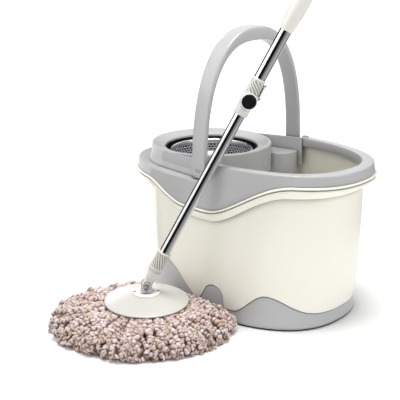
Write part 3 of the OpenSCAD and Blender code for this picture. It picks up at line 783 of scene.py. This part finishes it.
def make_basket():
    """Pressed bowl with staggered round drain holes, as real openings in the sheet."""
    pts, faces = drilled_wall()
    bottom = [(17, 180.2), (40, 180.2), (58, 180.3), (63, 181), (68, 183.4), (71.5, 187), (73.6, 192),
              (74.6, 197), (75, HOLES_LOW)]
    top = [(wall_radius(HOLES_HIGH), HOLES_HIGH), (77.0, 258), (77.0, 259.9)]
    for profile in (bottom, top):
        start = len(pts)
        band, band_faces = lathe_data(profile, 8 * COLUMNS, closed=False)
        pts += band
        faces += [tuple(start + i for i in face) for face in band_faces]
    bowl = place(new_object("basket_shell", pts, faces), spin_place())
    fix_normals(bowl, merge=0.00012)
    thick = bowl.modifiers.new("sheet", "SOLIDIFY")
    thick.thickness = 0.8 * MM
    thick.offset = 0
    dress(soften(bowl, 50), STEEL, "spin_basket", "basket_steel", "basket_bowl")


# ---- mop head ----
def make_plate():
    """Round mop plate, dished on top, with a rounded edge."""
    profile = [(0, 52.5), (24, 52), (64, 42.4), (68, 41.6), (PLATE_R - 1.4, 41), (PLATE_R - 0.3, 41.6),
               (PLATE_R, 42.6), (PLATE_R - 0.4, 43.9), (PLATE_R - 1.8, 44.7), (66, 46.2), (50, 50),
               (34, 53.9), (27, 55.6), (25.2, 56.2), (24.5, 56.5), (0, 56.5)]
    plate = place(lathe("plate_shell", profile, 160), mop_matrix())
    dress(soften(fix_normals(plate), 40), PLATE_SHADED_CREAM, "mop_head", "cream_plastic", "mop_plate")


def cut_out(obj, cutters):
    """Subtract plain cutter meshes from a piece."""
    for cutter in cutters:
        cut = obj.modifiers.new("cut", "BOOLEAN")
        cut.object = fix_normals(cutter)
        cut.operation = "DIFFERENCE"
        cut.solver = "EXACT"
        bpy.context.view_layer.objects.active = obj
        bpy.ops.object.modifier_apply(modifier=cut.name)
        bpy.data.objects.remove(cutter)
    return obj


def block(name, low, high):
    (x0, y0, z0), (x1, y1, z1) = low, high
    return loft(name, [[(x0, y0, z), (x1, y0, z), (x1, y1, z), (x0, y1, z)] for z in (z0, z1)])


def make_boss_ring():
    """White clamp disc on the plate, with slots for the yoke arms and two sunk screws."""
    profile = [(0, 56.5), (24, 56.5), (24, 57.6), (23.8, 58.6), (23.2, 59.4), (22.2, 59.8), (0, 59.8)]
    disc = fix_normals(lathe("boss_ring", profile, 120))
    slots = [block("slot", (-9.8, y, 57), (9.8, y + 2.6, 61)) for y in (8.9, -11.5)]
    sink = [(0, 58.1), (2.7, 58.1), (2.7, 61), (0, 61)]
    wells = [place(lathe("sink", sink, 32), Matrix.Translation((x * MM, 0, 0))) for x in (20.5, -20.5)]
    cut_out(disc, slots + wells)
    place(disc, mop_matrix())
    dress(soften(disc, 40), WHITE, "mop_head", "white_plastic", "yoke_ring")


def make_yoke():
    """Pressed steel fork: two round-topped arms on a disc under the clamp ring."""
    rise = BOLT.z / MM
    half, low = 9.5, 57.2
    arm = [(half, low)] + [(half * math.cos(a), rise + half * math.sin(a))
                           for a in np.linspace(0, math.pi, 25)] + [(-half, low)]
    parts = [lathe("fork_base", [(0, 56.6), (15.4, 56.6), (15.4, 58.4), (0, 58.4)], 64)]
    for k in (1, -1):
        parts.append(loft("arm", [[(x, k * y, z) for x, z in arm] for y in (9.2, 11.2)]))
    fork = fix_normals(join("yoke_fork", parts))
    place(fork, mop_matrix())
    dress(soften(fork, 35, 0.35, 3), STEEL, "mop_head", "zinc_hardware", "yoke")


def make_bolt():
    """Hex bolt head with a chamfered rim and a socket, on a plain shank."""
    head = loft("head", [[(r * math.cos(a), r * math.sin(a), z) for a in np.arange(6) * math.pi / 3]
                         for r, z in ((5.8, 0), (5.8, 3.3), (5.1, 4.0), (2.9, 4.0), (2.7, 1.4))])
    shank = lathe("shank", [(0, -26.2), (2.6, -26.2), (3, -25.8), (3, 0.1), (0, 0.1)], 40)
    bolt = fix_normals(join("hex_bolt", [head, shank]))
    place(bolt, pole_matrix(0, QUARTER_TURN @ Matrix.Translation((0, 0, 11.2 * MM))))
    dress(soften(bolt, 30, 0.25, 2), ZINC, "mop_head", "zinc_hardware", "yoke_bolt")


def yarn_limit(f):
    """How far the yarn reaches in a direction: it is pressed flat against the bucket's foot."""
    s = math.sin(f)
    stop = (YARN_STOP_Y - MOP.y) / s if s > 0.02 else 9999
    spread = YARN_R - YARN_DRAW * max(0.0, math.cos(f - YARN_BACK)) ** 1.3
    spread -= YARN_TUCK * (1 - math.cos(f - YARN_FULL)) / 2
    spread -= YARN_SHORT * max(0.0, math.cos(f - YARN_FRONT)) ** 2
    return (spread ** -24 + stop ** -24) ** (-1 / 24)


# each layer: strands, reach, height, start radius, end height, how sharply the end turns down
YARN_LAYERS = ((100, 1.0, 36.0, 62, 10, 5.0), (80, 0.985, 33.0, 64, 18, 6.0), (50, 0.9, 36.5, 66, 26, 6.0),
               (88, 1.0, 27.0, 98, 8, 4.0), (80, 0.99, 18.5, 102, 5, 3.0), (74, 0.98, 11.0, 106, 4, 2.2),
               (50, 0.93, 6.0, 106, 4, 2.0))
KNOB = 6.6  # length of one bobble
KNOB_RINGS = ((0.0, 0.36), (0.2, 0.84), (0.4, 1.05), (0.6, 1.05), (0.8, 0.84))  # place and girth
SIDES = 7  # corners of a strand's section
UNDER_PLATE = 40.6  # highest the yarn may be below the plate


def strand_path(rng, angle, layer):
    """Centre line of one strand: out from under the plate, then down to the floor."""
    reach, height, start, end_z, turn_down = layer
    limit = yarn_limit(angle)
    far = max(start * 0.9, (limit - 4.0) * reach * rng.uniform(0.93, 1.01))
    start = min(start, far - 20)
    knobs = max(3, int(math.hypot(far - start, height - end_z) / KNOB * 1.08))
    t = np.arange(knobs * len(KNOB_RINGS) + 1) / (knobs * len(KNOB_RINGS))
    radius = start + (far - start) * np.sin(t ** 0.92 * math.pi / 2) ** 0.93
    drop = np.clip((radius - start) / (far - start), 0, 1) ** turn_down
    lift = rng.uniform(-2.5, 3.0) * np.sin(math.pi * np.clip(t * 1.2, 0, 1))
    wander = rng.uniform(-0.11, 0.11) * t + 0.035 * np.sin(7 * t + rng.uniform(0, 6.3))
    z = height + lift - (height - max(3.6, end_z + rng.uniform(-6, 8))) * drop
    x, y = MOP.x + radius * np.cos(angle + wander), MOP.y + radius * np.sin(angle + wander)
    return np.stack([x, y, z], 1), knobs


def strand_mesh(rng, path, knobs):
    """Bobbly tube along the path: points, and the tint and depth of each point; the depth sets the painted
    shade in the necks between bobbles.
    """
    rings = len(KNOB_RINGS)
    n = len(path)
    which = np.minimum(np.arange(n) // rings, knobs - 1)
    slip = rng.normal(0, 1.7, (knobs + 1, 3))
    blend = (np.arange(n) % rings / rings)[:, None]
    path = path + slip[which] * (1 - blend) + slip[which + 1] * blend
    tangent = np.gradient(path, axis=0)
    tangent /= np.linalg.norm(tangent, axis=1)[:, None]
    across = np.cross(tangent, [0, 0, 1.0])
    across /= np.linalg.norm(across, axis=1)[:, None] + 1e-9
    upward = np.cross(across, tangent)
    size = rng.uniform(3.9, 4.7) * rng.uniform(0.82, 1.16, knobs)
    shape = np.array([KNOB_RINGS[i % rings][1] for i in range(n)])
    shape[-1] = 0.3
    radius = size[which] * shape
    turn = 2 * math.pi * (np.arange(SIDES)[None, :] + 0.37 * (np.arange(n)[:, None] % 2)) / SIDES
    radius = radius[:, None] * (1 + rng.uniform(-0.13, 0.13, (n, SIDES)))
    points = (path[:, None] + radius[..., None] * (np.cos(turn)[..., None] * across[:, None]
                                                   + np.sin(turn)[..., None] * upward[:, None]))
    tint = np.repeat(rng.uniform(0, 1, knobs)[which], SIDES) + rng.uniform(-0.03, 0.03, n * SIDES)
    # depth runs from 0 in the necks to 1 on the crowns and sets the painted shade between bobbles
    depth = np.repeat(np.clip((shape - 0.36) / 0.6, 0, 1), SIDES)
    return points.reshape(-1, 3), np.clip(tint, 0, 1), depth


def make_yarn():
    """Bobbly chenille strands fanned out from under the plate in overlapping layers."""
    rng = np.random.default_rng(7)
    points, faces, tints, neck_shade_marks = [], [], [], []
    total = 0
    for strands, *layer in YARN_LAYERS:
        for k in range(strands):
            angle = 2 * math.pi * (k + rng.uniform(-0.3, 0.3)) / strands
            path, knobs = strand_path(rng, angle, layer)
            pts, tint, depth = strand_mesh(rng, path, knobs)
            faces += skin(SIDES, len(path), start=total)
            points.append(pts)
            tints.append(tint)
            neck_shade_marks.append(depth)
            total += len(pts)
    pts = np.concatenate(points)
    pts[:, 2] = np.maximum(pts[:, 2], 0.5)
    inside = np.hypot(pts[:, 0] - MOP.x, pts[:, 1] - MOP.y) < PLATE_R + 1
    pts[inside, 2] = np.minimum(pts[inside, 2], UNDER_PLATE)
    pts[:, 1] = np.minimum(pts[:, 1], YARN_STOP_Y + 0.5)
    yarn = new_object("mop_yarn_strands", pts, faces)
    write_mark(yarn, "tuft", np.concatenate(tints))
    write_mark(yarn, "depth", np.concatenate(neck_shade_marks))
    yarn.data.shade_smooth()
    dress(yarn, YARN, "mop_head", "yarn", "mop_yarn")


# ---- pole ----
def make_tube(name, bore, outer, start, end, body, node):
    """Plain drawn tube with softened ends."""
    length = end - start
    profile = [(bore, 0), (outer - 0.3, 0), (outer, 0.4), (outer, length - 0.4), (outer - 0.3, length),
               (bore, length)]
    tube = place(lathe(name, profile, 192), pole_matrix(start))
    dress(soften(fix_normals(tube), 30), CHROME, body, "chrome_tube", node)


def make_tubes():
    """The thin lower tube slides in the wider upper one."""
    make_tube("lower_pole_tube", LOWER_R - 0.85, LOWER_R, 37.5, NUT_S, "pole_lower", "lower_tube")
    make_tube("upper_pole_tube", UPPER_R - 0.6, UPPER_R, MID_S + 19, CAP_S, "pole_upper", "upper_tube")


def slanted_sleeve(name, radius, bore, length, ribs, turn, plain, depth=1.5):
    """A sleeve whose outside carries slanted ribs between two plain bands.

    The ribs turn by `turn` degrees over the whole length; plain holds the two band heights."""
    segments, rows = ribs * 14, 48
    angle = 2 * math.pi * np.arange(segments) / segments
    c, s = np.cos(angle), np.sin(angle)
    rings, grooves = [], []
    for z in np.linspace(0, length, rows + 1):
        wave = np.cos(ribs * (angle + math.radians(turn) * z / length))
        cut = depth * (0.5 - 0.5 * np.tanh(5.0 * (wave + 0.45)))
        inside = float(smooth((z - plain[0]) / 0.9) * smooth((length - plain[1] - z) / 0.9))
        edge = 0.5 * max(0.0, 1 - min(z, length - z) / 0.6)
        r = radius - cut * inside - edge
        rings.append(ring(r * c, r * s, z))
        grooves.append(cut * inside / depth)
    rings += [ring(bore * c, bore * s, z) for z in (length, 0)]
    sleeve = loft(name, rings, closed=True)
    # the groove mark sets the painted shade in the grooves
    write_mark(sleeve, "groove", np.concatenate(grooves + [np.zeros(2 * segments)]))
    return fix_normals(sleeve)


def make_socket():
    """Lower connector: an eye on the yoke's bolt, a strap and a cone that takes the lower tube."""
    profile = [(0, 12), (7, 12), (8.4, 13.2), (9, 14.2), (10.4, 23), (11.7, 31), (11.8, 31.5), (10.7, 31.8),
               (10.7, 32.3), (11.8, 32.6), (11.8, 34.1), (11.5, 34.4), (9.1, 34.4), (9.1, 37.5),
               (8.35, 37.5), (8.35, 58), (0, 58)]
    ring_profile = [(3.05, -8.1), (7.2, -8.1), (8, -7.3), (8, 7.3), (7.2, 8.1), (3.05, 8.1)]
    eye = place(lathe("socket_eye", ring_profile, 64), QUARTER_TURN)
    section = rounded_section(15.6, 16.0, 3.0)
    strap = loft("socket_strap", [[(w, d - 8.0, z) for w, d in section] for z in (3.2, 8, 14)])
    socket = join("socket_body", [lathe("socket_cone", profile), eye, strap])
    place(fix_normals(socket), pole_matrix(0))
    dress(soften(socket, 35), FITTING, "pole_lower", "cream_plastic", "lower_socket")


def make_housing():
    """Middle connector: a sleeve with a round button boss and two small ears for the lever."""
    sleeve = lathe("housing_sleeve", [(LOWER_R + 0.35, 0), (11.0, 0), (11.4, 0.4), (12, 2.4), (12, 40),
                                      (11.5, 40.6), (UPPER_R, 40.6), (UPPER_R, 18.1), (10.96, 18.1),
                                      (10.96, 2.9), (LOWER_R + 0.35, 2.9)])
    across = Matrix.Translation((0, 0, BUTTON_S * MM)) @ QUARTER_TURN
    boss = fix_normals(lathe("housing_boss", [(0, 0), (12.8, 0), (13.9, 1.0), (13.9, 11), (0, 11)]))
    place(boss, across)
    bore_r, seat_r = UPPER_R + 0.02, 13.95
    cut_out(boss, [lathe("bore", [(0, -50), (bore_r, -50), (bore_r, 90), (0, 90)])])
    cut_out(sleeve, [place(lathe("seat", [(0, 11), (seat_r, 11), (seat_r, 22), (0, 22)]), across)])
    parts = [sleeve, boss]
    for k in (1, -1):
        ear = [(x + 13.1, k * 5.7, z + 34.1) for x, z in rounded_section(7, 6, 1.6, 4)]
        parts.append(loft("ear", [[(x, y + dy, z) for x, y, z in ear] for dy in (-1, 1)]))
    housing = place(fix_normals(join("mid_housing_shell", parts)), pole_matrix(MID_S))
    dress(soften(housing, 35), FITTING, "pole_upper", "cream_plastic", "mid_housing")


def make_button():
    """White bezel and a black lock button with raised rings, hollow underneath for its spring."""
    across = pole_matrix(MID_S + BUTTON_S, QUARTER_TURN)
    bezel = lathe("button_bezel", [(11.95, 11), (13.9, 11), (13.9, 15.2), (13.6, 15.9), (12.9, 16.2),
                                   (12.3, 16.0), (11.95, 15.5)])
    place(fix_normals(bezel), across)
    dress(soften(bezel, 40), WHITE, "pole_upper", "white_plastic", "button_ring")
    disc = lathe("lock_button_disc", [(0, 16.0), (8.3, 16.0), (8.3, 13.6), (11.5, 13.6), (11.88, 14),
                                      (11.88, 16.2), (11.5, 16.75), (10.8, 17.0), (9.4, 17.0), (9.0, 16.7),
                                      (8.4, 16.7), (8.0, 17.0), (5.4, 16.8), (4.8, 16.4), (3.2, 16.3),
                                      (2.6, 16.5), (0, 16.6)])
    place(fix_normals(disc), across)
    dress(soften(disc, 40), BLACK, "lock_button", "black_plastic", "lock_button")


def make_lever():
    """Flip lever: a curved plate hinged at its foot, with a hooked finger tab."""
    side = [(12.7, 36.2), (13.4, 35.5), (14.6, 35.4), (15.8, 36), (16.4, 37.4), (15.9, 38.9), (14.9, 40),
            (14.8, 57), (15.6, 58.6), (17.5, 61), (17.2, 61.8), (16.2, 62), (13.8, 60.6), (12.7, 59.2)]
    plate = loft("flip_lever", [[(x, y, z) for x, z in side] for y in (-4.45, 4.45)])
    place(fix_normals(plate), pole_matrix(MID_S))
    dress(soften(plate, 35, 0.4, 3), FITTING, "clip_lever", "white_plastic", "clip_lever")


def make_fittings():
    """All the plastic parts of the pole below the grip."""
    make_socket()
    sleeve = slanted_sleeve("ribbed_sleeve", 12, LOWER_R + 0.06, 34, 16, 77.9, (3.2, 2.0))
    place(sleeve, pole_matrix(34.8))
    dress(soften(sleeve, 60), RIBBED, "lower_sleeve", "cream_plastic", "lower_sleeve")
    make_housing()
    make_button()
    collar = slanted_sleeve("ribbed_collar", 11.6, UPPER_R + 0.06, 21, 9, 150, (0.9, 0.9), 1.3)
    place(collar, pole_matrix(MID_S + 41))
    dress(soften(collar, 60), RIBBED, "lock_collar", "cream_plastic", "lock_collar")
    band = lathe("collar_top", [(UPPER_R, 0), (11.2, 0), (11.6, 0.4), (11.6, 3.0), (11.3, 3.8), (10.8, 4.2),
                                (UPPER_R, 4.2)])
    place(fix_normals(band), pole_matrix(MID_S + 62.3))
    dress(soften(band, 40), FITTING, "pole_upper", "cream_plastic", "collar_band")
    make_lever()


def make_grip():
    """Long grip, swelling near its lower end and again at the top."""
    profile = [(UPPER_R, 0), (10.1, 0), (10.4, 0.5), (10.8, 3), (11.7, 10), (12.9, 20), (14, 32),
               (14.4, 44), (14.1, 56), (13.6, 68), (12.9, 92), (12.8, 104), (13, 130), (13.7, 150),
               (14.3, 170), (14.6, 182), (14.4, 188), (13.8, 191.4), (13.0, 192), (UPPER_R, 192)]
    grip = place(lathe("grip_sleeve", profile), pole_matrix(GRIP_S))
    dress(soften(fix_normals(grip), 45), GRIP, "pole_upper", "cream_plastic", "grip")


def dress_cad():
    """CAD nodes whose shape is right keep it and get a real material."""
    looks = {
        GREY: ("insert_clips", "spinner_pillar", "hang_cap"),
        # the basket ring's lighter steel is a painted highlight
        LIP_HIGHLIGHT_STEEL: ("basket_ring",),
        ZINC: ("basket_shaft", "shaft_washer", "handle_pins", "hub_screws", "ring_screws", "yoke_nut",
               "lever_pin", "twisted_rod", "button_spring"),
        WHITE: ("basket_hub", "yoke_washers", "refill_ring"),
        # the throat liner is black to give the dark band inside the collar's mouth; the black stands in for
        # shade there
        BLACK: ("throat_liner", "basket_bush", "drive_nut", "guide_bush", "rod_anchor"),
    }
    for mat, names in looks.items():
        for name in names:
            obj = frame["nodes"][name]
            for index in range(max(1, len(obj.data.materials))):
                if obj.data.materials:
                    obj.data.materials[index] = mat
                else:
                    obj.data.materials.append(mat)


# ---- stage, lights, camera ----
CAMERA_AZIMUTH, CAMERA_PITCH, CAMERA_DISTANCE = 42.5674, 17.2389, 1.5951144
CAMERA_TARGET = Vector((-0.0728976, -0.0565219, 0.1761525))
CAMERA_LENS = 76.7395


def camera_back():
    """Direction from the target to the camera."""
    a, e = math.radians(CAMERA_AZIMUTH), math.radians(CAMERA_PITCH)
    return Vector((math.sin(a) * math.cos(e), -math.cos(a) * math.cos(e), math.sin(e)))


def make_camera():
    data = bpy.data.cameras.new("camera")
    data.lens = CAMERA_LENS
    data.sensor_width = 36
    camera = bpy.data.objects.new("camera", data)
    camera.location = CAMERA_TARGET + camera_back() * CAMERA_DISTANCE
    camera.rotation_euler = (-camera_back()).to_track_quat("-Z", "Y").to_euler()
    bpy.context.scene.collection.objects.link(camera)
    bpy.context.scene.camera = camera


def area_light(name, place_at, target, size, power):
    data = bpy.data.lights.new(name, "AREA")
    data.shape = "RECTANGLE"
    data.size, data.size_y = size
    data.energy = power
    lamp = bpy.data.objects.new(name, data)
    lamp.location = place_at
    lamp.rotation_euler = (Vector(target) - Vector(place_at)).to_track_quat("-Z", "Y").to_euler()
    lamp.visible_camera = False
    bpy.context.scene.collection.objects.link(lamp)
    return lamp


# studio cards mirrored in the tubes: start and end along the pole, distance from it, and the
# tones round it as (degrees from the camera side, brightness)
DARK_EDGE = ((-174, 0.02), (-98, 0.02))
BAND = ((-40, 0.0), (8, 0.01), (20, 0.16), (50, 0.3), (80, 0.47), (92, 0.45), (104, 0.2), (125, 0.22),
        (150, 0.3))
CARDS = (
    (0.36, 0.76, 0.9, DARK_EDGE),
    (0.02, 0.36, 0.16, DARK_EDGE),
    (0.36, 0.76, 0.45, BAND),
    (0.02, 0.36, 0.14, BAND),
)


def make_card(index, start, end, distance, tones):
    """Bent reflector card beside the pole, seen only as a reflection in the chrome."""
    toward = camera_back()
    tilt = toward.dot(POLE_Z)
    front = (toward - POLE_Z * tilt).normalized()
    right = POLE_Z.cross(front)
    level = math.sqrt(1 - tilt * tilt)
    angles = np.linspace(tones[0][0], tones[-1][0], 41)
    points = []
    for s in (start, end):
        for a in np.radians(angles):
            ray = level * (front * math.cos(a) + right * math.sin(a)) - POLE_Z * tilt
            points.append(BOLT + POLE_Z * s + ray * distance)
    n = len(angles)
    card = new_object("card_%d" % index, points, [(i, i + 1, n + i + 1, n + i) for i in range(n - 1)], 1)
    write_mark(card, "tone", np.tile(np.interp(angles, *zip(*tones)), 2))
    mat, tree, shader = material("card_glow_%d" % index)
    tree.links.new(mark(tree, "tone"), shader.inputs["Emission Strength"])
    fill(shader, {"Emission Color": (1, 1, 1, 1), "Base Color": (0, 0, 0, 1), "Specular IOR Level": 0})
    mat.cycles.emission_sampling = "NONE"
    card.data.materials.append(mat)
    for flag in ("visible_camera", "visible_diffuse", "visible_shadow", "visible_transmission"):
        setattr(card, flag, False)


FILL_LEVEL = 0.52  # brightness of the studio as fill light


def make_world():
    """White studio: full brightness as backdrop and in reflections, softer as fill light."""
    world = bpy.data.worlds.new("studio")
    bpy.context.scene.world = world
    world.use_nodes = True
    tree = world.node_tree
    path = tree.nodes.new("ShaderNodeLightPath")
    seen = tree.nodes.new("ShaderNodeMath")
    seen.operation = "MAXIMUM"
    tree.links.new(path.outputs["Is Camera Ray"], seen.inputs[0])
    tree.links.new(path.outputs["Is Glossy Ray"], seen.inputs[1])
    level = map_range(tree, seen.outputs["Value"], (0, 1, FILL_LEVEL, 1.0))
    background = tree.nodes["Background"]
    fill(background, {"Color": (1, 1, 1, 1)})
    tree.links.new(level, background.inputs["Strength"])


# the floor far from the object glows so that it meets the white backdrop: from and to, in metres
# from the centre, and the glow there
FLOOR_GLOW = (0.8, 2.6, 0.0, 0.5)


def make_floor():
    half, below = 8, -0.0003
    corners = [(-half, -half, below), (half, -half, below), (half, half, below), (-half, half, below)]
    floor = new_object("floor", corners, [(0, 1, 2, 3)], 1)
    mat, tree, shader = material("floor_white")
    fill(shader, {"Base Color": (0.95, 0.95, 0.95, 1), "Roughness": 0.8, "Emission Color": (1, 1, 1, 1)})
    away = tree.nodes.new("ShaderNodeVectorMath")
    away.operation = "LENGTH"
    tree.links.new(tree.nodes.new("ShaderNodeTexCoord").outputs["Object"], away.inputs[0])
    tree.links.new(map_range(tree, away.outputs["Value"], FLOOR_GLOW), shader.inputs["Emission Strength"])
    mat.cycles.emission_sampling = "NONE"
    floor.data.materials.append(mat)


def make_stage():
    make_floor()
    make_world()
    area_light("key", (-1.4, -1.5, 2.0), (0, 0, 0.2), (2.6, 2.0), 23)
    area_light("top", (0.1, -0.2, 2.3), (0, 0, 0.1), (0.9, 0.9), 34)
    area_light("side", (2.2, 0.3, 1.4), (0, 0, 0.2), (1.2, 1.2), 13)
    area_light("rim", (-1.9, 0.9, 0.9), (-0.1, 0, 0.25), (0.4, 1.4), 9)
    gloss = area_light("gloss", (0.1, 0.1, 1.9), (0, 0, 0.2), (0.6, 0.6), 20)
    gloss.visible_diffuse = False
    bpy.context.scene.view_settings.view_transform = "Standard"


make_camera()
make_stage()
for number, card in enumerate(CARDS):
    make_card(number, *card)
make_tub()
make_rim()
make_foot()
make_pad()
make_insert()
make_handle()
make_basket()
make_plate()
make_boss_ring()
make_yoke()
make_bolt()
make_yarn()
make_tubes()
make_fittings()
make_grip()
dress_cad()
